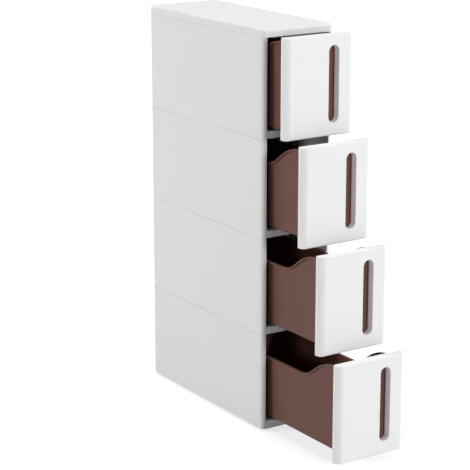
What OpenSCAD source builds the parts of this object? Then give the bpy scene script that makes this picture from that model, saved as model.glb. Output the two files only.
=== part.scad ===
// Slim drawer tower: four stacked tiers of moulded panels, each with a drawer on two rails.
// X is the width, the drawer fronts face -Y, and Z = 0 is the ground under the wheels.
// The origin is the middle of the whole tower with its drawers pulled out in steps.

/* [Case] */
// Width of the case over its side panels
case_w = 175; // [173:0.5:177]
// Depth of the case, from its front stiles to its rear corners
case_d = 450; // [445:1:460]
// Height of one tier, from seam to seam
tier_h = 210; // [209.5:0.5:212]
// Height of the top cover
top_h = 17; // [14:0.5:20]
// Radius of the top cover's front edge
top_front_r = 6.5; // [3:0.5:8]
// Radius of the front stiles and of the other upright corners of the case
stile_r = 10; // [9:0.5:11]
// Depth of the wall that turns back into the opening behind each stile
stile_return = 6; // [4:1:12]
// Wall thickness of the moulded case parts
wall = 2.5; // [2.2:0.1:2.8]
// Height of a shelf's upper face above the seam under it
shelf_h = 17; // [15:0.5:18]
// Height of the groove along each seam
seam_h = 0.8; // [0.5:0.1:1.2]
// Depth of the groove along each seam
seam_depth = 1.5; // [1:0.1:1.7]

/* [Drawers] */
// How far the top drawer's face stands ahead of the case
reach_top = 75; // [20:1:120]
// How far the bottom drawer's face stands ahead of the case
reach_bottom = 265; // [130:1:310]
// Width of a front cover
cover_w = 168; // [164:0.5:172]
// Height of a front cover
cover_h = 208.5; // [200:0.5:209]
// Depth of a front cover
cover_d = 18; // [16:0.5:20]
// Height of a front cover's lower edge above the seam
cover_z = 9.5; // [8:0.5:10]
// Radius of a front cover's upright front edges
cover_side_r = 12; // [8:0.5:13]
// Radius of a front cover's lower front edge
cover_foot_r = 4; // [3:0.5:8]
// Radius of a front cover's upper front edge
cover_top_r = 2; // [1.5:0.5:4]
// Distance from the middle of a front cover to the middle of its grip slot
slot_x = 34.5; // [20:0.5:45]
// Width of the grip slot
slot_w = 25; // [20:0.5:28]
// Length of the grip slot
slot_len = 159; // [120:1:165]
// Height of the grip slot's lower end above the seam
slot_z = 36.5; // [30:0.5:40]

/* [Tray] */
// Length of a drawer tray behind its front cover
tray_len = 415; // [410:1:420]
// Width of a tray over its walls, at the raised rim
tray_w = 133; // [130:0.5:135]
// How much narrower a tray is at its floor, on each side
tray_draft = 1.5; // [0.5:0.1:2]
// Wall thickness of a tray
tray_t = 2.2; // [2:0.1:2.6]
// Height of a tray's underside above the seam
tray_z = 23.5; // [23:0.5:25]
// Height of the low rim above the seam
rim_low = 161; // [155:1:165]
// Height of the raised rim behind the front cover, above the seam
rim_high = 207; // [204:0.5:208]
// Length of the level part of the raised rim
rim_level = 18.5; // [10:0.5:30]
// Steepness of the rim's slope, in degrees
rim_slope = 35.5; // [33:0.5:37]
// Radius of the curve at the top of the slope
rim_crest_r = 99; // [80:1:105]
// Radius of the curve at the foot of the slope
rim_foot_r = 67; // [40:1:70]
// How far the rim stands out from the wall
rim_lip = 4.5; // [3:0.1:5]
// Thickness of the rim
rim_t = 3.5; // [2:0.1:4]

/* [Wheels] */
// Diameter of a wheel
wheel_d = 24; // [22:0.5:25]
// Width of a wheel's tread
wheel_w = 10; // [8:0.5:10.5]
// How far the wheels hold the case off the ground
lift = 6; // [5:0.5:7]
// Distance from the middle of the case to a wheel, across
wheel_x = 62; // [60:0.5:63]
// Distance from the middle of the case to a wheel, front to back
wheel_y = 185; // [150:1:190]
// Diameter of an axle pin
axle_d = 4; // [3:0.5:5]
// Number of spokes in a wheel
spokes = 5; // [4:1:7]

/* [Hidden] */

white = [0.95, 0.95, 0.95];
pale = [0.88, 0.88, 0.87];
brown = [0.41, 0.30, 0.27];
steel = [0.62, 0.63, 0.65];

tiers = 4;
eps = 1;                                  // how far a cutter runs past what it cuts
case_mid = reach_bottom / 2;              // middle of the case, front to back
front_y = case_mid - case_d / 2;
back_y = case_mid + case_d / 2;
opening_half = case_w / 2 - stile_r;      // half the clear width between the stiles
inner_half = case_w / 2 - wall;           // half the width between the side walls
stile_back = max(stile_r, 0.7 * wall + stile_return); // where what stands behind a stile starts
rib_t = 2;
rib_depth = 4.5;
panel_ribs = 3;                           // on the rear half, out of sight from the front
ledge_overlap = 0.5;                      // how deep a ledge or rib is rooted in its wall

back_plate_half = opening_half - 1;
back_wrap = 6;                            // how far a side panel wraps the back
back_flange = 8;
bead_w = 3;
bead_h = 1.5;

closed_gap = 0.5;                         // left between a closed front cover and the case
travel = 300;                             // full pull of a drawer, up to its stop
rail_x = 45;
rail_w = 3;
rail_top = tray_z - 0.3;
rail_ramp = 8;
fin_w = 1.5;
fin_gap = 0.5;                            // between a rail and the fins beside it
fin_drop = 3.8;
lug_w = 22;
lug_len = 6;
lug_y = 400;                              // front of the stop lug, behind the cover's back
lug_drop = 5.3;
stop_y = lug_y - closed_gap - travel - 0.5; // rear face of the stop on the shelf
stop_len = 10;
stop_h = 5.5;

flange_t = 2;                             // the tray's front plate, set into the cover
tray_r = 6;                               // radius along a tray's floor
tray_corner_r = 12;                       // radius of a tray's rear corners
rear_draft = 2;
arc_steps = 7;                            // straight pieces in a quarter of a small curve

axle_z = wheel_d / 2;
axle_len = 17;
hub_w = 11.4;
hub_r = 4.6;
bore_play = 0.05;                         // radial, between a wheel and its pin
tread_t = 2.4;
shoulder_r = 1.5;
spoke_w = 2;
spoke_depth = 7;
web_t = 1.6;
well_w = 12;                              // clear width of a wheel well
well_play = 1;                            // clear of the tread all round
well_wall = 2.5;
well_roof = 1.5;

// Height of the seam under tier k, where tier 1 is the top one
function seam_z(k) = lift + (tiers - k) * tier_h;

// Back plane of drawer k's front cover
function cover_back(k) =
    front_y - reach_top - (k - 1) * (reach_bottom - reach_top) / (tiers - 1) + cover_d;

// Points of an arc of radius r round c, from angle a0 to angle a1
function arc(c, r, a0, a1, steps = arc_steps) =
    [for (i = [0 : steps]) c + r * [cos(a0 + (a1 - a0) * i / steps), sin(a0 + (a1 - a0) * i / steps)]];

// A quarter of a ring in the quadrant of -X and -Y
module corner_ring(r, t) {
    intersection() {
        difference() {
            circle(r = r, $fn = 96);
            circle(r = r - t, $fn = 96);
        }
        translate([-r - eps, -r - eps]) square(r + eps);
    }
}

// Plan of the left panel: wall, rounded stile with its return, rear corner and wrap
module panel_plan(inset = 0) {
    skin = wall - inset;
    centre_x = -case_w / 2 + stile_r;
    translate([-case_w / 2 + inset, front_y + stile_r]) square([skin, case_d - 2 * stile_r]);
    translate([centre_x, front_y + stile_r]) corner_ring(stile_r - inset, skin);
    translate([centre_x - wall, front_y + 0.7 * wall]) square([wall, stile_return]);
    translate([centre_x, back_y - stile_r]) mirror([0, 1]) corner_ring(stile_r - inset, skin);
    translate([centre_x, back_y - wall]) square([back_wrap, skin]);
}

// The left panel of one tier, standing on z = 0
module panel_shape() {
    root_x = -case_w / 2 + wall - ledge_overlap;
    linear_extrude(tier_h - seam_h) panel_plan();
    translate([0, 0, tier_h - seam_h]) linear_extrude(seam_h) panel_plan(seam_depth);
    // ledges that carry the shelf and the tier above
    for (z = [0, tier_h - wall])
        translate([root_x, front_y + stile_back, z])
            cube([-opening_half - root_x, case_d - stile_back - stile_r, wall]);
    // stiffening ribs, which stand on the shelf
    rib_first = case_mid - 20;
    rib_step = (back_y - stile_r - 25 - rib_first) / (panel_ribs - 1);
    for (i = [0 : panel_ribs - 1])
        translate([root_x, rib_first + i * rib_step, shelf_h])
            cube([ledge_overlap + rib_depth, rib_t, tier_h - shelf_h - wall + ledge_overlap]);
}

module left_panel(k) {
    color(white) translate([0, 0, seam_z(k)]) panel_shape();
}

module right_panel(k) {
    color(white) translate([0, 0, seam_z(k)]) mirror([1, 0, 0]) panel_shape();
}

module back_panel(k) {
    color(white) translate([0, 0, seam_z(k)]) {
        translate([-back_plate_half, back_y - 2 * wall, 0]) cube([2 * back_plate_half, wall, tier_h]);
        for (z = [0, tier_h - wall])
            translate([-back_plate_half, back_y - 2 * wall - back_flange, z])
                cube([2 * back_plate_half, back_flange + ledge_overlap, wall]);
        for (x = [-1, 0, 1] * back_plate_half / 2)
            translate([x - bead_w / 2, back_y - wall - ledge_overlap, 2 * wall])
                cube([bead_w, bead_h + ledge_overlap, tier_h - 4 * wall]);
    }
}

// A block with round upright corners and a rounded upper edge
module rounded_block(w, d, h, r, edge) {
    x = w / 2 - r;
    y = d / 2 - r;
    translate([-x, -d / 2, 0]) cube([2 * x, d, h - edge]);
    translate([-w / 2, -y, 0]) cube([w, 2 * y, h - edge]);
    translate([-x, -d / 2 + edge, 0]) cube([2 * x, d - 2 * edge, h]);
    translate([-w / 2 + edge, -y, 0]) cube([w - 2 * edge, 2 * y, h]);
    for (sx = [-1, 1], sy = [-1, 1]) {
        translate([sx * x, sy * y, 0]) rotate_extrude($fn = 96) {
            square([r - edge, h]);
            square([r, h - edge]);
            translate([r - edge, h - edge]) circle(r = edge, $fn = 48);
        }
    }
    for (s = [-1, 1]) {
        translate([-x, s * (d / 2 - edge), h - edge]) rotate([0, 90, 0]) cylinder(r = edge, h = 2 * x, $fn = 48);
        translate([s * (w / 2 - edge), -y, h - edge]) rotate([-90, 0, 0]) cylinder(r = edge, h = 2 * y, $fn = 48);
    }
}

// A plain block with round upright corners
module round_corner_block(w, d, h, r) {
    linear_extrude(h) {
        square([w - 2 * r, d], center = true);
        square([w, d - 2 * r], center = true);
        for (sx = [-1, 1], sy = [-1, 1])
            translate([sx * (w / 2 - r), sy * (d / 2 - r)]) circle(r = r, $fn = 96);
    }
}

// Side view of the top cover, which is softer along its front edge
module top_side() {
    front = -case_d / 2;
    polygon(concat([[front, 0]], arc([front + top_front_r, top_h - top_front_r], top_front_r, 180, 90, 10),
                   [[case_d / 2, top_h], [case_d / 2, 0]]));
}

module top_cover() {
    skin = 3;
    rib_low = top_h - skin - 6;
    color(white) translate([0, case_mid, seam_z(1) + tier_h]) {
        difference() {
            intersection() {
                rounded_block(case_w, case_d, top_h, stile_r, 3);
                rotate([90, 0, 90]) translate([0, 0, -case_w / 2]) linear_extrude(case_w) top_side();
            }
            translate([0, 0, -eps])
                round_corner_block(case_w - 2 * skin, case_d - 2 * skin, top_h - skin + eps, stile_r - skin);
        }
        // grid of ribs under the top
        for (x = [-1, 0, 1] * case_w / 4)
            translate([x - rib_t / 2, -case_d / 2 + skin - ledge_overlap, rib_low])
                cube([rib_t, case_d - 2 * skin + 2 * ledge_overlap, top_h - skin - rib_low + ledge_overlap]);
        for (i = [-1.5 : 1 : 1.5])
            translate([-case_w / 2 + skin - ledge_overlap, i * case_d / 5 - rib_t / 2, rib_low])
                cube([case_w - 2 * skin + 2 * ledge_overlap, rib_t, top_h - skin - rib_low + ledge_overlap]);
    }
}

// Plan of a shelf, drawn in by inset on every side
module shelf_plan(inset = 0) {
    translate([-opening_half + inset, front_y + inset])
        square([2 * (opening_half - inset), stile_back + 2 * wall]);
    translate([-inner_half + inset, front_y + stile_back + inset])
        square([2 * (inner_half - inset), case_d - stile_back - stile_r - 2 * inset]);
    translate([-back_plate_half + inset, front_y + case_d / 2])
        square([2 * (back_plate_half - inset), case_d / 2 - 2 * wall - inset]);
}

// Plate, skirt and ribs of a shelf, above the ledges of the side panels
module shelf_shell() {
    deck_z = shelf_h - wall;
    difference() {
        translate([0, 0, wall]) linear_extrude(shelf_h - wall) shelf_plan();
        linear_extrude(deck_z) shelf_plan(wall);
        // rounded upper front edge
        translate([-case_w, front_y, shelf_h]) rotate([90, 0, 90]) linear_extrude(2 * case_w)
            difference() {
                translate([-eps, -2]) square([2 + eps, 2 + eps]);
                translate([2, -2]) circle(r = 2, $fn = 48);
            }
    }
    for (x = [-rail_x, 0, rail_x])
        translate([x - rib_t / 2, front_y + wall - ledge_overlap, 2 * wall])
            cube([rib_t, case_d - 3 * wall - ledge_overlap, deck_z - 2 * wall + ledge_overlap]);
    rib_first = front_y + stile_back + 5;
    rib_step = (back_y - 17 - rib_first) / 4;
    for (i = [0 : 4])
        translate([-back_plate_half, rib_first + i * rib_step, 2 * wall])
            cube([2 * back_plate_half, rib_t, deck_z - 2 * wall + ledge_overlap]);
}

// Two rails that carry a tray, and the nib that stops it
module runners() {
    rail_y0 = front_y + 12;
    rail_y1 = back_y - 30;
    for (x = [-rail_x, rail_x])
        translate([x - rail_w / 2, 0, 0]) rotate([90, 0, 90]) linear_extrude(rail_w)
            polygon([[rail_y0, shelf_h - eps], [rail_y0, shelf_h], [rail_y0 + rail_ramp, rail_top],
                     [rail_y1 - rail_ramp, rail_top], [rail_y1, shelf_h], [rail_y1, shelf_h - eps]]);
    translate([-lug_w / 2, front_y + stop_y - stop_len, 0]) rotate([90, 0, 90]) linear_extrude(lug_w)
        polygon([[0, shelf_h - eps], [0, shelf_h], [stop_len - 2, shelf_h + stop_h],
                 [stop_len, shelf_h + stop_h], [stop_len, shelf_h - eps]]);
}

module shelf(k) {
    color(pale) translate([0, 0, seam_z(k)]) {
        shelf_shell();
        runners();
    }
}

// Calls its child at each of the four wheels' axle centres
module at_wheels() {
    for (sx = [-1, 1], sy = [-1, 1])
        translate([sx * wheel_x, case_mid + sy * wheel_y, axle_z]) children();
}

// Body of one wheel well round an axle along X
module well_block() {
    width = well_w + 2 * well_wall;
    outer_r = wheel_d / 2 + well_play + well_roof;
    translate([-width / 2, 0, 0]) rotate([0, 90, 0]) cylinder(r = outer_r, h = width, $fn = 96);
    translate([-width / 2, -outer_r, lift - axle_z]) cube([width, 2 * outer_r, shelf_h - wall / 2]);
}

module well_void() {
    r = wheel_d / 2 + well_play;
    translate([-well_w / 2, 0, 0]) rotate([0, 90, 0]) cylinder(r = r, h = well_w, $fn = 96);
    translate([-well_w / 2, -r, -axle_z - eps]) cube([well_w, 2 * r, axle_z + eps]);
}

module base_frame() {
    color(pale) difference() {
        union() {
            translate([0, 0, seam_z(tiers)]) {
                shelf_shell();
                runners();
                // the apron runs down to the lower edge of the case
                translate([-opening_half, front_y, 0]) cube([2 * opening_half, wall, 2 * wall]);
            }
            intersection() {
                at_wheels() well_block();
                translate([-case_w, front_y, lift]) cube([2 * case_w, case_d, tier_h]);
            }
        }
        at_wheels() well_void();
        at_wheels() rotate([0, 90, 0]) cylinder(r = axle_d / 2, h = axle_len, center = true, $fn = 64);
    }
}

// Rim of a tray seen from the side, lowered by drop: level, crest, slope, foot, level
function rim_line(drop, end) =
    let (slope_drop = rim_high - rim_low - (rim_crest_r + rim_foot_r) * (1 - cos(rim_slope)),
         run = (rim_crest_r + rim_foot_r) * sin(rim_slope) + slope_drop / tan(rim_slope),
         crest = [rim_level, rim_high - rim_crest_r],
         foot = [rim_level + run, rim_low + rim_foot_r])
    concat([[-eps, rim_high - drop]],
           arc(crest, rim_crest_r - drop, 90, 90 - rim_slope, 10),
           arc(foot, rim_foot_r + drop, 270 - rim_slope, 270, 8),
           [[end, rim_low - drop]]);

// Side view of the tub; open_top cuts straight up for the hollow inside it
module tub_side(inset, open_top) {
    end = tray_len - inset;
    low = tray_z + inset;
    first = open_top ? 0 : -eps;
    heel = [tray_len - rear_draft - tray_r, tray_z + tray_r];
    polygon(concat(
        open_top ? [[0, 2 * rim_high], [end, 2 * rim_high], [end, rim_low]] : rim_line(0, end),
        arc(heel, tray_r - inset, 0, -90),
        [[first, low]]));
}

// Cross-section of the tub, tapering towards its floor
module tub_section(inset) {
    top = tray_w / 2 - inset;
    low = top - tray_draft;
    c = [tray_w / 2 - tray_draft - tray_r, tray_z + tray_r];
    right = concat(arc(c, tray_r - inset, -90, 0), [[top, rim_high], [top, 2 * rim_high]]);
    left = [for (i = [len(right) - 1 : -1 : 0]) [-right[i][0], right[i][1]]];
    polygon(concat(right, left));
}

// Plan of the tub or of its rim, square in front and rounded behind
module tub_plan(grow, first) {
    half = tray_w / 2 + grow;
    end = tray_len + grow;
    r = tray_corner_r + grow;
    polygon(concat([[-half, first], [half, first]],
                   arc([half - r, end - r], r, 0, 90),
                   arc([-half + r, end - r], r, 90, 180)));
}

// The tub's outer or inner form
module tub(inset, open_top) {
    intersection() {
        rotate([90, 0, 90]) translate([0, 0, -case_w / 2]) linear_extrude(case_w) tub_side(inset, open_top);
        translate([0, 2 * tray_len, 0]) rotate([90, 0, 0]) linear_extrude(3 * tray_len) tub_section(inset);
        linear_extrude(3 * rim_high) tub_plan(-inset, open_top ? 0 : -eps);
    }
}

// The lip that stands out round the rim
module tub_lip() {
    end = tray_len + rim_lip;
    lower = rim_line(rim_t, end);
    intersection() {
        rotate([90, 0, 90]) translate([0, 0, -case_w / 2]) linear_extrude(case_w)
            polygon(concat(rim_line(0, end), [for (i = [len(lower) - 1 : -1 : 0]) lower[i]]));
        linear_extrude(2 * rim_high) tub_plan(rim_lip, -eps);
    }
}

// One tray, with y = 0 at the back of its front cover and z = 0 at the seam
module tray_shape() {
    difference() {
        union() {
            tub(0, false);
            tub_lip();
            // front plate that closes the cover from behind
            translate([-cover_w / 2 + wall, -flange_t, cover_z + wall])
                cube([cover_w - 2 * wall, flange_t, cover_h - 2 * wall]);
            // fins that straddle the rails
            for (s = [-1, 1], side = [-1, 1])
                translate([s * rail_x + side * (rail_w / 2 + fin_gap + fin_w / 2) - fin_w / 2, 12, tray_z - fin_drop])
                    cube([fin_w, tray_len - 40, fin_drop + eps]);
            // lug that meets the stop
            translate([-lug_w / 2, lug_y, tray_z - lug_drop]) cube([lug_w, lug_len, lug_drop + eps]);
        }
        tub(tray_t, true);
    }
}

module tray(k) {
    color(brown) translate([0, cover_back(k), seam_z(k)]) tray_shape();
}

// Plan of a front cover with y = 0 at its face, drawn in by inset
module cover_plan(inset, end) {
    half = cover_w / 2 - inset;
    r = cover_side_r - inset;
    translate([-half, inset + r]) square([2 * half, end - inset - r]);
    translate([-half + r, inset]) square([2 * (half - r), r + eps]);
    for (s = [-1, 1])
        translate([s * (half - r), inset + r]) circle(r = r, $fn = 96);
}

// Side view of a front cover: rounded foot, small radius at the top
module cover_side(inset, end) {
    foot = max(cover_foot_r - inset, 0.5);
    top = max(cover_top_r - inset, 0.5);
    height = cover_h - 2 * inset;
    translate([inset, cover_z + inset]) {
        translate([0, foot]) square([foot + eps, height - foot - top]);
        translate([foot, 0]) square([end - inset - foot, height - top]);
        translate([top, foot + eps]) square([end - inset - top, height - foot - eps]);
        translate([foot, foot]) circle(r = foot, $fn = 96);
        translate([top, height - top]) circle(r = top, $fn = 96);
    }
}

module cover_form(inset, end) {
    intersection() {
        linear_extrude(2 * tier_h) cover_plan(inset, end);
        rotate([90, 0, 90]) translate([0, 0, -case_w / 2]) linear_extrude(case_w) cover_side(inset, end);
        translate([-case_w, 0, 0]) cube([2 * case_w, end, 2 * tier_h]);
    }
}

// Grip slot as a solid, grown all round, from its mouth at y0 to y1
module slot_form(grow, y0, y1) {
    r = slot_w / 2 + grow;
    run = slot_len - slot_w;
    translate([slot_x, y0, slot_z + slot_w / 2]) {
        for (z = [0, run])
            translate([0, 0, z]) rotate([-90, 0, 0]) cylinder(r = r, h = y1 - y0, $fn = 96);
        translate([-r, 0, 0]) cube([2 * r, y1 - y0, run]);
    }
}

// The eased edge round the slot's mouth
module slot_ease(c) {
    r = slot_w / 2;
    run = slot_len - slot_w;
    translate([slot_x, 0, slot_z + slot_w / 2]) {
        for (z = [0, run])
            translate([0, -c, z]) rotate([-90, 0, 0]) cylinder(r1 = r + 2 * c, r2 = r, h = 2 * c, $fn = 96);
        linear_extrude(run) polygon([[-r - 2 * c, -c], [r + 2 * c, -c], [r, c], [-r, c]]);
    }
}

module front(k) {
    depth = cover_d - flange_t;
    color(white) translate([0, cover_back(k) - cover_d, seam_z(k)]) difference() {
        union() {
            difference() {
                cover_form(0, cover_d);
                cover_form(wall, cover_d + eps);
            }
            // tunnel behind the slot, up to the tray's front plate
            slot_form(wall, wall / 2, depth);
        }
        slot_form(0, -eps, cover_d);
        slot_ease(1);
    }
}

// One wheel on the X axis: tread ring, web, spokes and a longer hub
module wheel_shape() {
    outer = wheel_d / 2;
    half = wheel_w / 2;
    rotate([0, 90, 0]) difference() {
        union() {
            rotate_extrude($fn = 96) {
                translate([outer - tread_t, -half]) square([tread_t - shoulder_r, wheel_w]);
                translate([outer - tread_t, -half + shoulder_r]) square([tread_t, wheel_w - 2 * shoulder_r]);
                for (s = [-1, 1])
                    translate([outer - shoulder_r, s * (half - shoulder_r)]) circle(r = shoulder_r, $fn = 48);
            }
            cylinder(r = hub_r, h = hub_w, center = true, $fn = 96);
            cylinder(r = outer - tread_t / 2, h = web_t, center = true, $fn = 96);
            for (i = [0 : spokes - 1])
                rotate([0, 0, i * 360 / spokes])
                    translate([hub_r - 1, -spoke_w / 2, -spoke_depth / 2])
                        cube([outer - tread_t / 2 - hub_r + 1, spoke_w, spoke_depth]);
        }
        cylinder(r = axle_d / 2 + bore_play, h = 2 * wheel_w, center = true, $fn = 96);
    }
}

// sx is -1 on the left, sy is -1 at the front
module wheel(sx, sy) {
    color(white) translate([sx * wheel_x, case_mid + sy * wheel_y, axle_z]) wheel_shape();
}

module axle(sx, sy) {
    chamfer = 0.5;
    shaft = axle_len - 2 * chamfer;
    color(steel) translate([sx * wheel_x, case_mid + sy * wheel_y, axle_z]) rotate([0, 90, 0]) {
        cylinder(r = axle_d / 2, h = shaft, center = true, $fn = 64);
        for (s = [0, 180]) rotate([s, 0, 0]) translate([0, 0, shaft / 2])
            cylinder(r1 = axle_d / 2, r2 = axle_d / 2 - chamfer, h = chamfer, $fn = 64);
    }
}

top_cover();
left_panel(1);  // left_panel_1
left_panel(2);  // left_panel_2
left_panel(3);  // left_panel_3
left_panel(4);  // left_panel_4
right_panel(1);  // right_panel_1
right_panel(2);  // right_panel_2
right_panel(3);  // right_panel_3
right_panel(4);  // right_panel_4
back_panel(1);  // back_panel_1
back_panel(2);  // back_panel_2
back_panel(3);  // back_panel_3
back_panel(4);  // back_panel_4
shelf(1);  // shelf_1
shelf(2);  // shelf_2
shelf(3);  // shelf_3
base_frame();
tray(1);  // tray_1
tray(2);  // tray_2
tray(3);  // tray_3
tray(4);  // tray_4
front(1);  // front_1
front(2);  // front_2
front(3);  // front_3
front(4);  // front_4
wheel(-1, -1);  // wheel_front_left
wheel(1, -1);  // wheel_front_right
wheel(-1, 1);  // wheel_rear_left
wheel(1, 1);  // wheel_rear_right
axle(-1, -1);  // axle_front_left
axle(1, -1);  // axle_front_right
axle(-1, 1);  // axle_rear_left
axle(1, 1);  // axle_rear_right
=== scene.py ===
import math

import bmesh
import bpy
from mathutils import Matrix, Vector


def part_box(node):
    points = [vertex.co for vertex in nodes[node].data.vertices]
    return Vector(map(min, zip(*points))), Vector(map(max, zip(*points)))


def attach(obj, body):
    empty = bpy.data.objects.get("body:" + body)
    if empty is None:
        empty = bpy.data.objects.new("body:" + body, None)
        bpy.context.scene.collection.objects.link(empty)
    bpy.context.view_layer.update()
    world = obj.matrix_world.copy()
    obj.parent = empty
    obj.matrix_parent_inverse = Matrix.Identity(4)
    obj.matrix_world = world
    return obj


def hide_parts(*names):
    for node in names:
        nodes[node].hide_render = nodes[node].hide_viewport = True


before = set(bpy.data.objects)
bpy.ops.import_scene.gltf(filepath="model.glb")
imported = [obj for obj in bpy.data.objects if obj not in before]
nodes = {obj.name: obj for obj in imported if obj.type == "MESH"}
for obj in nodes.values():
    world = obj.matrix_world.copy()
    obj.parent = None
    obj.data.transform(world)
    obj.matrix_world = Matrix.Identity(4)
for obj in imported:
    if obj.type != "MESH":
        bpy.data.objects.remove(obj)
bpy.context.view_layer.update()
print("frame loaded:", len(nodes), "nodes")

mm = 0.001  # all sizes are in metres, all angles in degrees
tiers = (1, 2, 3, 4)  # tier 1 is the top one
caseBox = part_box("top_cover")
caseFront, caseBack = caseBox[0].y, caseBox[1].y
caseHalf = caseBox[1].x
caseMid = (caseFront + caseBack) / 2

meshSetup = {"weld": 1e-6, "sharpDeg": 38}
rooted = 0.5 * mm  # how deep a rib or ledge is set into its wall
hiddenBevel = 0.3 * mm  # on edges that are out of sight


def arcPoints(centreX, centreY, radius, startDeg, endDeg, steps):
    points = []
    for i in range(steps + 1):
        a = math.radians(startDeg + (endDeg - startDeg) * i / steps)
        points.append((centreX + radius * math.cos(a), centreY + radius * math.sin(a)))
    return points


def roundedRectangle(left, right, low, high, radius, steps):
    # counter-clockwise from the lower right corner
    corners = ((right - radius, low + radius), (right - radius, high - radius),
               (left + radius, high - radius), (left + radius, low + radius))
    points = []
    for i, (x, y) in enumerate(corners):
        points += arcPoints(x, y, radius, 90 * i - 90, 90 * i, steps)
    return points


def quarterTurn(steps):
    # (sine, cosine) from 0 to 90 degrees
    turns = [math.pi / 2 * i / steps for i in range(steps + 1)]
    return [(math.sin(t), math.cos(t)) for t in turns]


def evenRow(span, count):
    # first place and pitch of a centred row that shares out a span evenly
    pitch = span / (count + 1)
    return -(count - 1) / 2 * pitch, pitch


def addRing(bm, points):
    return [bm.verts.new(p) for p in points]


def bridge(bm, ringA, ringB, closed=True):
    count = len(ringA)
    for i in range(count if closed else count - 1):
        j = (i + 1) % count
        bm.faces.new((ringA[i], ringA[j], ringB[j], ringB[i]))


def bridgeAll(bm, rings, closed=True):
    for a, b in zip(rings, rings[1:]):
        bridge(bm, a, b, closed)


def fillWithHole(bm, outerRing, holeRing):
    edges = []
    for ring in (outerRing, holeRing):
        for i, vert in enumerate(ring):
            other = ring[(i + 1) % len(ring)]
            edges.append(bm.edges.get((vert, other)) or bm.edges.new((vert, other)))
    bmesh.ops.triangle_fill(bm, edges=edges, use_beauty=True)


def addBlock(bm, low, high, bevel, segments=2):
    # a box with softened edges, as a shell of its own
    part = bmesh.new()
    bmesh.ops.create_cube(part, size=1.0)
    low, high = Vector(low), Vector(high)
    size, middle = high - low, (low + high) / 2
    for vert in part.verts:
        vert.co = Vector(c * d for c, d in zip(vert.co, size)) + middle
    bmesh.ops.bevel(part, geom=part.edges[:], offset=bevel, segments=segments, profile=0.5,
                    affect="EDGES", clamp_overlap=True)
    mesh = bpy.data.meshes.new("block")
    part.to_mesh(mesh)
    part.free()
    bm.from_mesh(mesh)
    bpy.data.meshes.remove(mesh)


def latheX(bm, profile, centre, steps):
    # turns a closed profile of (along X, radius) points about an axle along X
    rings = []
    for along, radius in profile:
        ring = []
        for i in range(steps):
            a = 2 * math.pi * i / steps
            ring.append(centre + Vector((along, radius * math.cos(a), radius * math.sin(a))))
        rings.append(addRing(bm, ring))
    rings.append(rings[0])
    bridgeAll(bm, rings)


def applyModifiers(piece):
    evaluated = piece.evaluated_get(bpy.context.evaluated_depsgraph_get())
    mesh = bpy.data.meshes.new_from_object(evaluated)
    piece.modifiers.clear()
    piece.data = mesh
    mesh.name = piece.name


def makePiece(name, bm, material, body, replaced):
    bmesh.ops.remove_doubles(bm, verts=bm.verts, dist=meshSetup["weld"])
    bmesh.ops.dissolve_degenerate(bm, edges=bm.edges, dist=meshSetup["weld"])
    bmesh.ops.recalc_face_normals(bm, faces=bm.faces)
    mesh = bpy.data.meshes.new(name)
    bm.to_mesh(mesh)
    bm.free()
    mesh.materials.append(material)
    mesh.shade_smooth()
    mesh.set_sharp_from_angle(angle=math.radians(meshSetup["sharpDeg"]))
    piece = bpy.data.objects.new(name, mesh)
    bpy.context.scene.collection.objects.link(piece)
    weighted = piece.modifiers.new("evenShading", "WEIGHTED_NORMAL")
    weighted.keep_sharp = True
    applyModifiers(piece)
    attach(piece, body)
    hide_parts(*replaced)


def addInput(tree, name, kind, default=None):
    socket = tree.interface.new_socket(name, in_out="INPUT", socket_type=kind)
    if default is not None:
        socket.default_value = default


def startTree(name, inputs):
    tree = bpy.data.node_groups.new(name, "GeometryNodeTree")
    tree.interface.new_socket("Geometry", in_out="OUTPUT", socket_type="NodeSocketGeometry")
    for label, kind in inputs:
        addInput(tree, label, kind)
    addInput(tree, "Finish", "NodeSocketMaterial")
    return tree, tree.nodes.new("NodeGroupInput")


def endTree(tree, given, points, block, turn=None):
    # sets the block on every point and leaves plain mesh with its finish
    new, link = tree.nodes.new, tree.links.new
    place, realize = new("GeometryNodeInstanceOnPoints"), new("GeometryNodeRealizeInstances")
    paint, result = new("GeometryNodeSetMaterial"), new("NodeGroupOutput")
    link(points, place.inputs["Points"])
    link(block, place.inputs["Instance"])
    if turn:
        link(turn, place.inputs["Rotation"])
    link(place.outputs["Instances"], realize.inputs["Geometry"])
    link(realize.outputs["Geometry"], paint.inputs["Geometry"])
    link(given.outputs["Finish"], paint.inputs["Material"])
    link(paint.outputs["Geometry"], result.inputs["Geometry"])


def makeRowTree():
    # a row of equal blocks from Start, one Step apart
    tree, given = startTree("blockRow", [
        ("Count", "NodeSocketInt"), ("Start", "NodeSocketVector"), ("Step", "NodeSocketVector"),
        ("Block Size", "NodeSocketVector")])
    line = tree.nodes.new("GeometryNodeMeshLine")
    block = tree.nodes.new("GeometryNodeMeshCube")
    link = tree.links.new
    link(given.outputs["Count"], line.inputs["Count"])
    link(given.outputs["Start"], line.inputs["Start Location"])
    link(given.outputs["Step"], line.inputs["Offset"])
    link(given.outputs["Block Size"], block.inputs["Size"])
    endTree(tree, given, line.outputs["Mesh"], block.outputs["Mesh"])
    return tree


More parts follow.
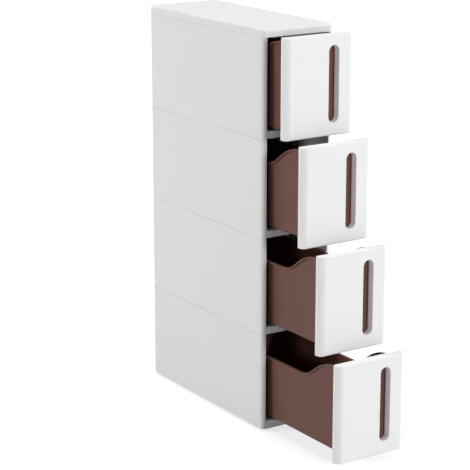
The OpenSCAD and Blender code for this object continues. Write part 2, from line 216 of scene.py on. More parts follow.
def makeSpokeTree():
    # equal blocks round an axle along X, each standing off it by Reach
    tree, given = startTree("spokeRing", [
        ("Count", "NodeSocketInt"), ("Centre", "NodeSocketVector"), ("Reach", "NodeSocketFloat"),
        ("Block Size", "NodeSocketVector")])
    new, link = tree.nodes.new, tree.links.new
    points, block = new("GeometryNodeMeshLine"), new("GeometryNodeMeshCube")
    offset, shift = new("ShaderNodeCombineXYZ"), new("GeometryNodeTransform")
    index, share = new("GeometryNodeInputIndex"), new("ShaderNodeMath")
    turn, angle = new("ShaderNodeMath"), new("ShaderNodeCombineXYZ")
    link(given.outputs["Count"], points.inputs["Count"])
    link(given.outputs["Centre"], points.inputs["Start Location"])
    points.inputs["Offset"].default_value = (0, 0, 0)
    link(given.outputs["Block Size"], block.inputs["Size"])
    link(given.outputs["Reach"], offset.inputs["Z"])
    link(block.outputs["Mesh"], shift.inputs["Geometry"])
    link(offset.outputs["Vector"], shift.inputs["Translation"])
    # each block is turned by its own number times a full turn over Count
    share.operation, turn.operation = "DIVIDE", "MULTIPLY"
    share.inputs[0].default_value = 2 * math.pi
    link(given.outputs["Count"], share.inputs[1])
    link(index.outputs["Index"], turn.inputs[0])
    link(share.outputs["Value"], turn.inputs[1])
    link(turn.outputs["Value"], angle.inputs["X"])
    endTree(tree, given, points.outputs["Mesh"], shift.outputs["Geometry"],
            angle.outputs["Vector"])
    return tree


rowTree = makeRowTree()
spokeTree = makeSpokeTree()


def growInto(bm, tree, settings):
    # runs a tree on an empty mesh and adds what it makes to the piece
    grown = bpy.data.objects.new(tree.name, bpy.data.meshes.new(tree.name))
    bpy.context.scene.collection.objects.link(grown)
    modifier = grown.modifiers.new(tree.name, "NODES")
    modifier.node_group = tree
    for socket in tree.interface.items_tree:
        if socket.in_out == "INPUT":
            modifier[socket.identifier] = settings[socket.name]
    applyModifiers(grown)
    mesh = grown.data
    bm.from_mesh(mesh)
    bpy.data.objects.remove(grown)
    bpy.data.meshes.remove(mesh)


def addCaseRibs(bm, count, start, step, size):
    growInto(bm, rowTree, {"Count": count, "Start": start, "Step": step, "Block Size": size,
                           "Finish": casePlastic})


def newGroup(name, inputs, outputs):
    group = bpy.data.node_groups.new(name, "ShaderNodeTree")
    for label, kind, default in inputs:
        addInput(group, label, kind, default)
    for label, kind in outputs:
        group.interface.new_socket(label, in_out="OUTPUT", socket_type=kind)
    return group, group.nodes.new("NodeGroupInput"), group.nodes.new("NodeGroupOutput")


mouldSetup = {"grainDetail": 3.0, "grainHeight": 0.0002, "cloudDetail": 2.0, "cloudSize": 9.0,
              "cloudAmount": 0.5, "refraction": 1.5}


def makeGrainGroup():
    # fine texture of a moulded surface
    group, given, result = newGroup(
        "mouldGrain",
        [("Grain Size", "NodeSocketFloat", 2500.0), ("Depth", "NodeSocketFloat", 0.2)],
        [("Normal", "NodeSocketVector")])
    new, link = group.nodes.new, group.links.new
    where, noise, bump = (new("ShaderNodeTexCoord"), new("ShaderNodeTexNoise"),
                          new("ShaderNodeBump"))
    noise.inputs["Detail"].default_value = mouldSetup["grainDetail"]
    bump.inputs["Distance"].default_value = mouldSetup["grainHeight"]
    link(where.outputs["Object"], noise.inputs["Vector"])
    link(given.outputs["Grain Size"], noise.inputs["Scale"])
    link(noise.outputs["Fac"], bump.inputs["Height"])
    link(given.outputs["Depth"], bump.inputs["Strength"])
    link(bump.outputs["Normal"], result.inputs["Normal"])
    return group


def makeFlowGroup():
    # soft, wide clouds in the plastic's colour, and the roughness that goes with them
    group, given, result = newGroup(
        "plasticFlow",
        [("Colour", "NodeSocketColor", (1, 1, 1, 1)),
         ("Cloud Colour", "NodeSocketColor", (1, 1, 1, 1)),
         ("Cloud Size", "NodeSocketFloat", mouldSetup["cloudSize"]),
         ("Amount", "NodeSocketFloat", mouldSetup["cloudAmount"]),
         ("Roughness", "NodeSocketFloat", 0.4), ("Roughness Spread", "NodeSocketFloat", 0.06)],
        [("Colour", "NodeSocketColor"), ("Roughness", "NodeSocketFloat")])
    new, link = group.nodes.new, group.links.new
    where, noise, mix = (new("ShaderNodeTexCoord"), new("ShaderNodeTexNoise"),
                         new("ShaderNodeMix"))
    amount, spread, rough = (new("ShaderNodeMath"), new("ShaderNodeMath"),
                             new("ShaderNodeMath"))
    mix.data_type = "RGBA"
    amount.operation, spread.operation, rough.operation = "MULTIPLY", "MULTIPLY", "ADD"
    noise.inputs["Detail"].default_value = mouldSetup["cloudDetail"]
    link(where.outputs["Object"], noise.inputs["Vector"])
    link(given.outputs["Cloud Size"], noise.inputs["Scale"])
    link(noise.outputs["Fac"], amount.inputs[0])
    link(given.outputs["Amount"], amount.inputs[1])
    link(amount.outputs["Value"], mix.inputs["Factor"])
    link(given.outputs["Colour"], mix.inputs["A"])
    link(given.outputs["Cloud Colour"], mix.inputs["B"])
    link(noise.outputs["Fac"], spread.inputs[0])
    link(given.outputs["Roughness Spread"], spread.inputs[1])
    link(spread.outputs["Value"], rough.inputs[0])
    link(given.outputs["Roughness"], rough.inputs[1])
    link(mix.outputs["Result"], result.inputs["Colour"])
    link(rough.outputs["Value"], result.inputs["Roughness"])
    return group


grainGroup = makeGrainGroup()
flowGroup = makeFlowGroup()


def makePlastic(name, look):
    material = bpy.data.materials.new(name)
    material.use_nodes = True
    tree = material.node_tree
    shader = tree.nodes["Principled BSDF"]
    grain, flow = tree.nodes.new("ShaderNodeGroup"), tree.nodes.new("ShaderNodeGroup")
    grain.node_tree, flow.node_tree = grainGroup, flowGroup
    grain.inputs["Grain Size"].default_value = look["grainSize"]
    grain.inputs["Depth"].default_value = look["grainDepth"]
    flow.inputs["Colour"].default_value = (*look["colour"], 1)
    flow.inputs["Cloud Colour"].default_value = (*look["cloudColour"], 1)
    flow.inputs["Roughness"].default_value = look["roughness"]
    flow.inputs["Roughness Spread"].default_value = look["roughnessSpread"]
    tree.links.new(flow.outputs["Colour"], shader.inputs["Base Color"])
    tree.links.new(flow.outputs["Roughness"], shader.inputs["Roughness"])
    tree.links.new(grain.outputs["Normal"], shader.inputs["Normal"])
    shader.inputs["IOR"].default_value = mouldSetup["refraction"]
    shader.inputs["Specular IOR Level"].default_value = look["gloss"]
    shader.inputs["Metallic"].default_value = look.get("metallic", 0.0)
    material.diffuse_color = (*look["colour"], 1)
    return material


caseLook = {"colour": (0.80, 0.80, 0.80), "cloudColour": (0.78, 0.78, 0.785),
            "roughness": 0.42, "roughnessSpread": 0.08, "gloss": 0.35,
            "grainSize": 1800, "grainDepth": 0.12}
frontLook = {"colour": (0.86, 0.86, 0.865), "cloudColour": (0.845, 0.845, 0.85),
             "roughness": 0.45, "roughnessSpread": 0.08, "gloss": 0.25,
             "grainSize": 900, "grainDepth": 0.05}
trayLook = {"colour": (0.138, 0.058, 0.044), "cloudColour": (0.126, 0.053, 0.040),
            "roughness": 0.40, "roughnessSpread": 0.10, "gloss": 0.2,
            "grainSize": 1800, "grainDepth": 0.15}
wheelLook = {"colour": (0.82, 0.82, 0.82), "cloudColour": (0.80, 0.80, 0.80),
             "roughness": 0.35, "roughnessSpread": 0.08, "gloss": 0.4,
             "grainSize": 2500, "grainDepth": 0.10}
pinLook = {"colour": (0.56, 0.57, 0.58), "cloudColour": (0.45, 0.46, 0.47),
           "roughness": 0.25, "roughnessSpread": 0.15, "gloss": 0.5, "metallic": 1.0,
           "grainSize": 3000, "grainDepth": 0.10}

casePlastic = makePlastic("caseWhite", caseLook)
frontPlastic = makePlastic("frontWhite", frontLook)
trayPlastic = makePlastic("trayBrown", trayLook)
wheelPlastic = makePlastic("wheelWhite", wheelLook)
pinSteel = makePlastic("pinSteel", pinLook)
print("finishes made")


cameraSetup = {"azimuth": 33.34, "elevation": 15.06, "place": (-2.054, -2.9775, 1.376),
               "lens": 133.8, "sensor": 36.0, "clip": (0.05, 60)}


def makeCamera():
    s = cameraSetup
    data = bpy.data.cameras.new("photoCamera")
    data.sensor_width, data.lens = s["sensor"], s["lens"]
    data.clip_start, data.clip_end = s["clip"]
    camera = bpy.data.objects.new("photoCamera", data)
    turn, dip = math.radians(s["azimuth"]), math.radians(s["elevation"])
    look = Vector((math.sin(turn) * math.cos(dip), math.cos(turn) * math.cos(dip),
                   -math.sin(dip)))
    camera.location = s["place"]
    camera.rotation_mode = "QUATERNION"
    camera.rotation_quaternion = look.to_track_quat("-Z", "Y")
    bpy.context.scene.collection.objects.link(camera)
    bpy.context.scene.camera = camera


lampSetup = {
    "key": {"place": (-5.32, 2.42, 2.54), "size": 1.4, "watts": 184},
    "leftFront": {"place": (-4.98, -3.06, 1.67), "size": 1.2, "watts": 48},
    "front": {"place": (1.51, -5.57, 1.87), "size": 1.6, "watts": 194},
    "rightFront": {"place": (5.04, -2.86, 1.87), "size": 1.6, "watts": 64},
    "top": {"place": (0.0, -0.19, 4.91), "size": 1.8, "watts": 92},
    "right": {"place": (5.11, 1.42, 1.94), "size": 1.8, "watts": 88},
    "back": {"place": (-0.37, 5.32, 1.94), "size": 1.8, "watts": 88},
}
aimPoint = Vector((0, 0.05, 0.42))


def makeLamps():
    for name, setup in lampSetup.items():
        data = bpy.data.lights.new(name, "AREA")
        data.shape, data.size, data.energy = "DISK", setup["size"], setup["watts"]
        lamp = bpy.data.objects.new(name, data)
        lamp.location = setup["place"]
        lamp.rotation_mode = "QUATERNION"
        lamp.rotation_quaternion = (aimPoint - Vector(setup["place"])).to_track_quat("-Z", "Y")
        bpy.context.scene.collection.objects.link(lamp)


def rayMask(tree, *kinds):
    # 1 for these kinds of ray, 0 for the others
    rays = tree.nodes.new("ShaderNodeLightPath")
    mask = rays.outputs[kinds[0]]
    for kind in kinds[1:]:
        either = tree.nodes.new("ShaderNodeMath")
        either.operation = "MAXIMUM"
        tree.links.new(mask, either.inputs[0])
        tree.links.new(rays.outputs[kind], either.inputs[1])
        mask = either.outputs["Value"]
    return mask


worldSetup = {"colour": (1, 1, 1, 1), "ambient": 0.03, "seen": 1.0}


def makeWorld():
    world = bpy.data.worlds.new("studio")
    bpy.context.scene.world = world
    world.use_nodes = True
    tree = world.node_tree
    tree.nodes.clear()
    new, link = tree.nodes.new, tree.links.new
    strength, sky, result = (new("ShaderNodeMapRange"), new("ShaderNodeBackground"),
                             new("ShaderNodeOutputWorld"))
    strength.inputs["To Min"].default_value = worldSetup["ambient"]
    strength.inputs["To Max"].default_value = worldSetup["seen"]
    mask = rayMask(tree, "Is Camera Ray", "Is Glossy Ray", "Is Transmission Ray")
    link(mask, strength.inputs["Value"])
    link(strength.outputs["Result"], sky.inputs["Strength"])
    link(sky.outputs["Background"], result.inputs["Surface"])
    sky.inputs["Color"].default_value = worldSetup["colour"]


floorSetup = {"half": 12.0, "cells": 8, "colour": (0.5, 0.5, 0.5, 1), "roughness": 0.9,
              "gloss": 0.1, "near": 0.6, "far": 2.4, "nearLift": 0.7, "farLift": 1.0,
              "liftColour": (1, 1, 1, 1)}


def makeFloor():
    s = floorSetup
    bm = bmesh.new()
    bmesh.ops.create_grid(bm, x_segments=s["cells"], y_segments=s["cells"], size=s["half"])
    mesh = bpy.data.meshes.new("floor")
    bm.to_mesh(mesh)
    bm.free()
    floor = bpy.data.objects.new("floor", mesh)
    bpy.context.scene.collection.objects.link(floor)
    material = bpy.data.materials.new("paleFloor")
    material.use_nodes = True
    tree = material.node_tree
    new, link = tree.nodes.new, tree.links.new
    shader, strength = tree.nodes["Principled BSDF"], new("ShaderNodeMath")
    where, away, lift = (new("ShaderNodeTexCoord"), new("ShaderNodeVectorMath"),
                         new("ShaderNodeMapRange"))
    # near the tower the floor keeps its shadow, and farther out it is plain white
    away.operation, strength.operation = "LENGTH", "MULTIPLY"
    link(where.outputs["Object"], away.inputs[0])
    link(away.outputs["Value"], lift.inputs["Value"])
    for socket, key in (("From Min", "near"), ("From Max", "far"),
                        ("To Min", "nearLift"), ("To Max", "farLift")):
        lift.inputs[socket].default_value = s[key]
    link(rayMask(tree, "Is Camera Ray", "Is Glossy Ray"), strength.inputs[0])
    link(lift.outputs["Result"], strength.inputs[1])
    link(strength.outputs["Value"], shader.inputs["Emission Strength"])
    shader.inputs["Emission Color"].default_value = s["liftColour"]
    shader.inputs["Base Color"].default_value = s["colour"]
    shader.inputs["Roughness"].default_value = s["roughness"]
    shader.inputs["Specular IOR Level"].default_value = s["gloss"]
    mesh.materials.append(material)


makeCamera()
makeLamps()
makeWorld()
makeFloor()
bpy.context.scene.view_settings.view_transform = "Standard"
print("camera, lamps and floor set")


panelSizes = {"wall": 2.5 * mm, "radius": 10 * mm, "returnDepth": 7.75 * mm,
              "lip": 0.8 * mm, "lipTurn": -82, "stileStart": -96, "stileEnd": 250.5,
              "wrap": 6 * mm, "wrapEdge": 0.4 * mm, "seamHigh": 0.8 * mm, "seamDeep": 1.5 * mm,
              "edge": 0.35 * mm, "arcSteps": 14, "lipSteps": 3, "shelfTop": 17 * mm,
              "ribs": 3, "ribStart": -20 * mm, "ribMargin": 25 * mm, "ribThick": 2 * mm,
              "ribDeep": 4.5 * mm}


def panelOutline(inset):
    # plan of the left panel; inset draws in the faces that show outside
    s = panelSizes
    r, wall, lip, edge, steps = s["radius"], s["wall"], s["lip"], s["wrapEdge"], s["arcSteps"]
    inX, frontY, backY = -caseHalf + r, caseFront + r, caseBack - r
    wrapX = inX + s["wrap"]
    outline = [(inX, caseFront + s["returnDepth"]), (inX, caseFront + lip + inset)]
    outline += arcPoints(inX - lip, caseFront + lip + inset, lip, 0, s["lipTurn"],
                         s["lipSteps"])[1:]
    outline += arcPoints(inX, frontY, r - inset, s["stileStart"], -180, steps)
    outline += arcPoints(inX, backY, r - inset, 180, 90, steps)
    outline += [(wrapX - edge, caseBack - inset), (wrapX, caseBack - inset - edge),
                (wrapX, caseBack - wall), (inX, caseBack - wall)]
    outline += arcPoints(inX, backY, r - wall, 90, 180, steps)
    outline += arcPoints(inX, frontY, r - wall, 180, s["stileEnd"], steps)
    outline.append((inX - wall, caseFront + s["returnDepth"]))
    return outline


def makePanel(side, tier):
    s = panelSizes
    node = ("left" if side < 0 else "right") + f"_panel_{tier}"
    low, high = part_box(node)[0].z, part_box(node)[1].z
    groove, edge, deep = high - s["seamHigh"], s["edge"], s["seamDeep"]
    levels = [(low, edge), (low + edge, 0), (groove - edge, 0), (groove, edge),
              (groove, deep), (high, deep)]
    bm = bmesh.new()
    rings = []
    for z, inset in levels:
        rings.append(addRing(bm, [(-side * x, y, z) for x, y in panelOutline(inset)]))
    bridgeAll(bm, rings)
    bm.faces.new(rings[0])
    bm.faces.new(rings[-1])
    # ledges that carry the shelf and the tier above
    rootX = caseHalf - s["wall"] + rooted
    left, right = sorted((side * rootX, side * (caseHalf - s["radius"])))
    front, back = caseFront + s["radius"], caseBack - s["radius"]
    for z in (low, high - s["wall"]):
        addBlock(bm, (left, front, z), (right, back, z + s["wall"]), hiddenBevel, 1)
    # stiffening ribs on the rear half
    first = caseMid + s["ribStart"]
    pitch = (back - s["ribMargin"] - first) / (s["ribs"] - 1)
    tall = high - s["wall"] - low - s["shelfTop"]
    ribDeep = s["ribDeep"] + rooted
    addCaseRibs(bm, s["ribs"],
                (side * (rootX - ribDeep / 2), first + s["ribThick"] / 2,
                 low + s["shelfTop"] + tall / 2),
                (0, pitch, 0), (ribDeep, s["ribThick"], tall))
    makePiece(node + "_moulding", bm, casePlastic, "cabinet", (node,))


for tier in tiers:
    for side in (-1, 1):
        makePanel(side, tier)
print("side panels made")


backSizes = {"wall": 2.5 * mm, "edge": 0.4 * mm, "beads": 3, "beadWide": 3 * mm,
             "beadHigh": 1.5 * mm, "beadRoot": 1 * mm, "beadRound": 1.0 * mm, "beadSteps": 3}


def makeBackPanel(tier):
    s = backSizes
    node = f"back_panel_{tier}"
    low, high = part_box(node)
    wall = s["wall"]
    plateBack = caseBack - wall
    bm = bmesh.new()
    addBlock(bm, (low.x, plateBack - wall, low.z), (high.x, plateBack, high.z), s["edge"])
    for z in (low.z, high.z - wall):
        addBlock(bm, (low.x, low.y, z), (high.x, plateBack - wall / 2, z + wall),
                 hiddenBevel, 1)
    firstX, pitch = evenRow(2 * high.x, s["beads"])
    for i in range(s["beads"]):
        x = firstX + i * pitch
        addBlock(bm, (x - s["beadWide"] / 2, plateBack - s["beadRoot"], low.z + 2 * wall),
                 (x + s["beadWide"] / 2, plateBack + s["beadHigh"], high.z - 2 * wall),
                 s["beadRound"], s["beadSteps"])
    makePiece(node + "_moulding", bm, casePlastic, "cabinet", (node,))


for tier in tiers:
    makeBackPanel(tier)
print("back panels made")


topSizes = {"skin": 3 * mm, "corner": 10 * mm, "edge": 3 * mm, "frontEdge": 6.5 * mm,
            "foot": 0.4 * mm, "arcSteps": 12, "edgeSteps": 9, "rollCuts": 8, "rollDeg": 4,
            "ribThick": 2 * mm, "ribDeep": 6 * mm, "longRibs": 3, "crossRibs": 4}


def topRing(bm, inset, z):
    s = topSizes
    points = roundedRectangle(-caseHalf + inset, caseHalf - inset, caseFront + inset,
                              caseBack - inset, s["corner"] - inset, s["arcSteps"])
    return addRing(bm, [(x, y, z) for x, y in points])


def rollFront(bm, topZ):
    # softens the upper front edge: cuts across it, then lowers what stands above the arc
    r = topSizes["frontEdge"]
    for i in range(topSizes["rollCuts"]):
        ahead = r * math.sin(math.radians(topSizes["rollDeg"] * i))
        bmesh.ops.bisect_plane(bm, geom=bm.verts[:] + bm.edges[:] + bm.faces[:],
                               plane_co=(0, caseFront + r - ahead, 0), plane_no=(0, 1, 0))
    for vert in bm.verts:
        ahead = r - (vert.co.y - caseFront)
        if ahead > 0:
            arcZ = topZ - r + math.sqrt(max(0.0, r ** 2 - ahead ** 2))
            vert.co.z = min(vert.co.z, arcZ)


def makeTopCover():
    s = topSizes
    low, high = caseBox[0].z, caseBox[1].z
    skin, foot, edge = s["skin"], s["foot"], s["edge"]
    ceiling = high - skin
    bm = bmesh.new()
    rings = [topRing(bm, foot, low), topRing(bm, 0, low + foot)]
    for inset, z in arcPoints(edge, high - edge, edge, 180, 90, s["edgeSteps"]):
        rings.append(topRing(bm, inset, z))
    inner = [rings[0], topRing(bm, skin - foot, low), topRing(bm, skin, low + foot),
             topRing(bm, skin, ceiling)]
    for shell in (rings, inner):
        bridgeAll(bm, shell)
        bm.faces.new(shell[-1])
    rollFront(bm, high)
    # grid of ribs under the top
    tall = s["ribDeep"] + rooted
    midZ = ceiling - s["ribDeep"] + tall / 2
    width = 2 * (caseHalf - skin) + 2 * rooted
    depth = caseBack - caseFront - 2 * skin + 2 * rooted
    first, pitch = evenRow(2 * caseHalf, s["longRibs"])
    addCaseRibs(bm, s["longRibs"], (first, caseMid, midZ), (pitch, 0, 0),
                (s["ribThick"], depth, tall))
    first, pitch = evenRow(caseBack - caseFront, s["crossRibs"])
    addCaseRibs(bm, s["crossRibs"], (0, caseMid + first, midZ), (0, pitch, 0),
                (width, s["ribThick"], tall))
    makePiece("top_cover_moulding", bm, casePlastic, "cabinet", ("top_cover",))


makeTopCover()
print("top cover made")


# the upright edges reach farther over the face than they do back along the side
coverSizes = {"wall": 2.5 * mm, "sideRadius": 12 * mm, "sideReach": 14 * mm,
              "footRadius": 4 * mm, "topRadius": 2 * mm, "leastRadius": 0.5 * mm,
              "cornerRadius": 1.5 * mm, "faceCorner": 3.0 * mm, "plate": 2 * mm,
              "slotX": 34.5 * mm, "slotWide": 25 * mm, "slotLong": 159 * mm,
              "slotFoot": 27 * mm, "slotEase": 1.0 * mm,
              "arcSteps": 14, "cornerSteps": 6, "slotSteps": 18, "easeSteps": 5}


def insetAt(radius, depth):
    # how far a rounded edge has drawn in at this depth behind the face
    if depth >= radius:
        return 0.0
    return radius - math.sqrt(max(0.0, radius ** 2 - (radius - depth) ** 2))


def edgeDepths(radius):
    # depths down a rounded edge, from the face to where it ends
    steps = coverSizes["arcSteps"]
    return [radius * (1 - math.sin(math.radians(90 * (1 - i / steps))))
            for i in range(steps + 1)]


def coverRing(bm, low, high, depth, shrink):
    # outline of the cover at one depth; shrink is the wall for the hollow inside
    s = coverSizes
    least = s["leastRadius"]
    widen = s["sideReach"] / s["sideRadius"]
    side = shrink + widen * insetAt(s["sideRadius"] - shrink, depth - shrink)
    foot = shrink + insetAt(max(s["footRadius"] - shrink, least), depth - shrink)
    top = shrink + insetAt(max(s["topRadius"] - shrink, least), depth - shrink)
    near = max(0.0, 1 - depth / s["sideRadius"])
    corner = s["cornerRadius"] + (s["faceCorner"] - s["cornerRadius"]) * near
    points = roundedRectangle(low.x + side, high.x - side, low.z + foot, high.z - top,
                              corner, s["cornerSteps"])
    return addRing(bm, [(x, low.y + depth, z) for x, z in points])


def slotRing(bm, low, depth, grow):
    s = coverSizes
    r = s["slotWide"] / 2 + grow
    foot = low.z + s["slotFoot"] + s["slotWide"] / 2
    head = foot + s["slotLong"] - s["slotWide"]
    points = arcPoints(s["slotX"], head, r, 0, 180, s["slotSteps"])
    points += arcPoints(s["slotX"], foot, r, 180, 360, s["slotSteps"])
    return addRing(bm, [(x, low.y + depth, z) for x, z in points])


def makeCover(tier):
    s = coverSizes
    node = f"front_{tier}"
    low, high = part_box(node)
    depth, wall, ease = high.y - low.y, s["wall"], s["slotEase"]
    bm = bmesh.new()
    outer = [coverRing(bm, low, high, d, 0) for d in edgeDepths(s["sideRadius"])]
    outer.append(coverRing(bm, low, high, depth, 0))
    inner = [coverRing(bm, low, high, depth, wall)]
    for d in reversed(edgeDepths(s["sideRadius"] - wall)):
        inner.append(coverRing(bm, low, high, wall + d, wall))
    bridgeAll(bm, outer + inner)
    # slot: eased mouth, tunnel, and the tunnel's outer wall behind the face
    tunnelEnd = depth - s["plate"]
    tunnel = []
    for back, out in arcPoints(ease, ease, ease, 180, 270, s["easeSteps"]):
        tunnel.append(slotRing(bm, low, back, out))
    for back, out in ((tunnelEnd, 0), (tunnelEnd, wall), (wall, wall)):
        tunnel.append(slotRing(bm, low, back, out))
    bridgeAll(bm, tunnel)
    fillWithHole(bm, outer[0], tunnel[0])
    fillWithHole(bm, inner[-1], tunnel[-1])
    makePiece(node + "_moulding", bm, frontPlastic, f"drawer_{tier}", (node,))


for tier in tiers:
    makeCover(tier)
print("front covers made")


traySizes = {"length": 415 * mm, "width": 133 * mm, "draft": 1.5 * mm, "wall": 2.2 * mm,
             "floorRadius": 6 * mm, "corner": 12 * mm, "underside": 23.5 * mm,
             "rimLow": 161 * mm, "rimHigh": 207 * mm, "rimLevel": 18.5 * mm, "slope": 35.5,
             "crest": 99 * mm, "foot": 67 * mm, "lip": 4.5 * mm, "lipThick": 3.5 * mm,
             "lipRound": 1.2 * mm, "lipInner": 0.9 * mm, "lipEdge": 0.7 * mm,
             "lipFillet": 0.8 * mm, "plate": 2 * mm, "plateEdge": 0.4 * mm,
             "coverFoot": 9.5 * mm, "overlap": 0.5 * mm, "railX": 45 * mm,
             "finX": 2.75 * mm, "finThick": 1.5 * mm, "finDrop": 3.8 * mm,
             "finStart": 12 * mm, "finEnd": 28 * mm, "runnerRoot": 1 * mm,
             "lugWide": 22 * mm, "lugStart": 400 * mm, "lugLong": 6 * mm,
             "lugDrop": 5.3 * mm, "lugEdge": 0.5 * mm,
             "crestSteps": 14, "footSteps": 12, "lowSteps": 5, "cornerSteps": 10,
             "floorSteps": 6, "undersideSteps": 8, "innerSteps": 4, "roundSteps": 5,
             "lipSteps": 3}


def rimCurve():
    # the rim from the front to the back: (distance behind the cover, height, slope)
    s = traySizes
    crest, foot, level = s["crest"], s["foot"], s["rimLevel"]
    a = math.radians(s["slope"])
    drop = s["rimHigh"] - s["rimLow"] - (crest + foot) * (1 - math.cos(a))
    run = (crest + foot) * math.sin(a) + drop / math.tan(a)
    points = [(-s["overlap"], s["rimHigh"], 0.0), (level / 2, s["rimHigh"], 0.0)]
    for i in range(s["crestSteps"] + 1):
        t = a * i / s["crestSteps"]
        points.append((level + crest * math.sin(t),
                       s["rimHigh"] - crest * (1 - math.cos(t)), t))
    for i in range(s["footSteps"] + 1):
        t = a * (1 - i / s["footSteps"])
        points.append((level + run - foot * math.sin(t),
                       s["rimLow"] + foot * (1 - math.cos(t)), t))
    start, end = level + run, s["length"] - s["corner"]
    for i in range(1, s["lowSteps"]):
        points.append((start + (end - start) * i / s["lowSteps"], s["rimLow"], 0.0))
    return points


def wallSection(height, tilt):
    # one wall from the tray's floor, over the rim and down outside: (outwards, height)
    s = traySizes
    wall, r, lip = s["wall"], s["floorRadius"], s["lip"]
    soft, edge, fillet = s["lipRound"], s["lipEdge"], s["lipFillet"]
    floorX, floorZ = -s["draft"] - r, s["underside"] + r
    # the lip is as thick across its slope as it is where it runs level
    under = height - s["lipThick"] / math.cos(tilt)
    softHigh = soft / math.cos(tilt)
    section = arcPoints(floorX, floorZ, r - wall, -90, 0, s["floorSteps"])
    for sine, cosine in quarterTurn(s["innerSteps"]):
        section.append((-wall + s["lipInner"] * (1 - cosine), height - softHigh * (1 - sine)))
    for sine, cosine in quarterTurn(s["roundSteps"]):
        section.append((lip - soft * (1 - sine), height - softHigh * (1 - cosine)))
    for sine, cosine in quarterTurn(s["lipSteps"]):
        section.append((lip - edge * (1 - cosine), under + edge * (1 - sine)))
    for sine, cosine in quarterTurn(s["lipSteps"]):
        section.append((fillet * (1 - sine), under - fillet * (1 - cosine)))
    return section + arcPoints(floorX, floorZ, r, 0, -90, s["undersideSteps"])


def trayStations():
    # round the tray from its front right, along the back and on to its front left:
    # (place, outwards, rim height, rim slope)
    s = traySizes
    half, corner, cornerY = s["width"] / 2, s["corner"], s["length"] - s["corner"]
    stations = [((half, y), (1.0, 0.0), height, tilt) for y, height, tilt in rimCurve()]
    for i in range(s["cornerSteps"] + 1):
        a = math.radians(90 * i / s["cornerSteps"])
        place = (half - corner + corner * math.cos(a), cornerY + corner * math.sin(a))
        stations.append((place, (math.cos(a), math.sin(a)), s["rimLow"], 0.0))
    mirrored = [((-p[0], p[1]), (-n[0], n[1]), h, t) for p, n, h, t in reversed(stations)]
    return stations + mirrored


def addRunners(bm, startY, underZ):
    # fins that straddle the rails, and the lug that meets the stop
    s = traySizes
    half, topZ = s["finThick"] / 2, underZ + s["runnerRoot"]
    finFront, finBack = startY + s["finStart"], startY + s["length"] - s["finEnd"]
    for side in (-1, 1):
        for fin in (-1, 1):
            x = side * s["railX"] + fin * s["finX"]
            addBlock(bm, (x - half, finFront, underZ - s["finDrop"]), (x + half, finBack, topZ),
                     hiddenBevel)
    lugY = startY + s["lugStart"]
    addBlock(bm, (-s["lugWide"] / 2, lugY, underZ - s["lugDrop"]),
             (s["lugWide"] / 2, lugY + s["lugLong"], topZ), s["lugEdge"])


def makeTray(tier):
    s = traySizes
    node = f"tray_{tier}"
    coverLow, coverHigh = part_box(f"front_{tier}")
    startY, seamZ = coverHigh.y, coverLow.z - s["coverFoot"]
    bm = bmesh.new()
    sections = []
    for place, outward, height, tilt in trayStations():
        ring = []
        for out, z in wallSection(height, tilt):
            ring.append((place[0] + outward[0] * out, startY + place[1] + outward[1] * out,
                         seamZ + z))
        sections.append(addRing(bm, ring))
    bridgeAll(bm, sections, closed=False)
    bm.faces.new([section[0] for section in sections])
    bm.faces.new([section[-1] for section in sections])
    bm.faces.new(sections[0] + list(reversed(sections[-1])))
    # front plate that closes the cover from behind
    wall = coverSizes["wall"]
    addBlock(bm, (coverLow.x + wall, startY - s["plate"], coverLow.z + wall),
             (coverHigh.x - wall, startY, coverHigh.z - wall), s["plateEdge"])
    addRunners(bm, startY, seamZ + s["underside"])
    makePiece(node + "_moulding", bm, trayPlastic, f"drawer_{tier}", (node,))


for tier in tiers:
    makeTray(tier)
print("trays made")


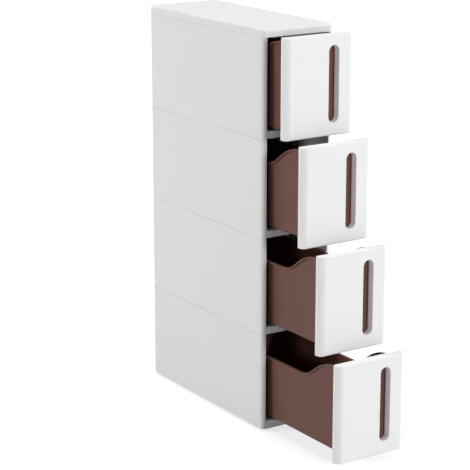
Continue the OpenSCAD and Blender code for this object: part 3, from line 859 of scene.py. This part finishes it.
wheelSizes = {"width": 10 * mm, "tread": 2.4 * mm, "shoulder": 1.5 * mm, "web": 1.6 * mm,
              "hub": 4.6 * mm, "hubWidth": 11.4 * mm, "bore": 2.05 * mm, "edge": 0.5 * mm,
              "hubFillet": 0.6 * mm, "rimFillet": 0.8 * mm, "spokes": 5,
              "spokeThick": 2 * mm, "spokeWide": 7 * mm, "spokeRoot": 1.6 * mm,
              "steps": 72, "shoulderSteps": 6}


def wheelProfile(radius):
    # closed section above the axle: the rim's right and left half, then the hub's left and right
    s = wheelSizes
    w, hubW, web = s["width"] / 2, s["hubWidth"] / 2, s["web"] / 2
    edge, hubFillet, rimFillet = s["edge"], s["hubFillet"], s["rimFillet"]
    shoulder, inner, hub = s["shoulder"], radius - s["tread"], s["hub"]
    right = [(web, inner - rimFillet), (web + rimFillet, inner), (w - edge, inner),
             (w, inner + edge)]
    right += arcPoints(w - shoulder, radius - shoulder, shoulder, 0, 90, s["shoulderSteps"])
    left = [(-x, r) for x, r in reversed(right)]
    hubRight = [(web, hub + hubFillet), (web + hubFillet, hub), (hubW - edge, hub),
                (hubW, hub - edge), (hubW, s["bore"] + edge), (hubW - edge, s["bore"])]
    hubLeft = [(-x, r) for x, r in hubRight]
    return right + left + hubLeft + hubRight[::-1]


def makeWheel(name, body):
    s = wheelSizes
    low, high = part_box(name)
    centre, radius = (low + high) / 2, (high.z - low.z) / 2
    inner = radius - s["tread"]
    bm = bmesh.new()
    latheX(bm, wheelProfile(radius), centre, s["steps"])
    growInto(bm, spokeTree, {
        "Count": s["spokes"], "Centre": centre, "Reach": (s["hub"] + inner) / 2,
        "Block Size": (s["spokeWide"], s["spokeThick"], inner - s["hub"] + s["spokeRoot"]),
        "Finish": wheelPlastic})
    makePiece(name + "_moulding", bm, wheelPlastic, body, (name,))


for end in ("front", "rear"):
    for side in ("left", "right"):
        makeWheel(f"wheel_{end}_{side}", f"{end}_{side}_wheel")
print("wheels made")


# nodes that keep their own mesh, by the start of their names
keptFinishes = {"shelf": casePlastic, "base_frame": casePlastic, "axle": pinSteel}

for name, node in nodes.items():
    for start, material in keptFinishes.items():
        if name.startswith(start):
            node.data.materials.clear()
            node.data.materials.append(material)
print("kept nodes finished")
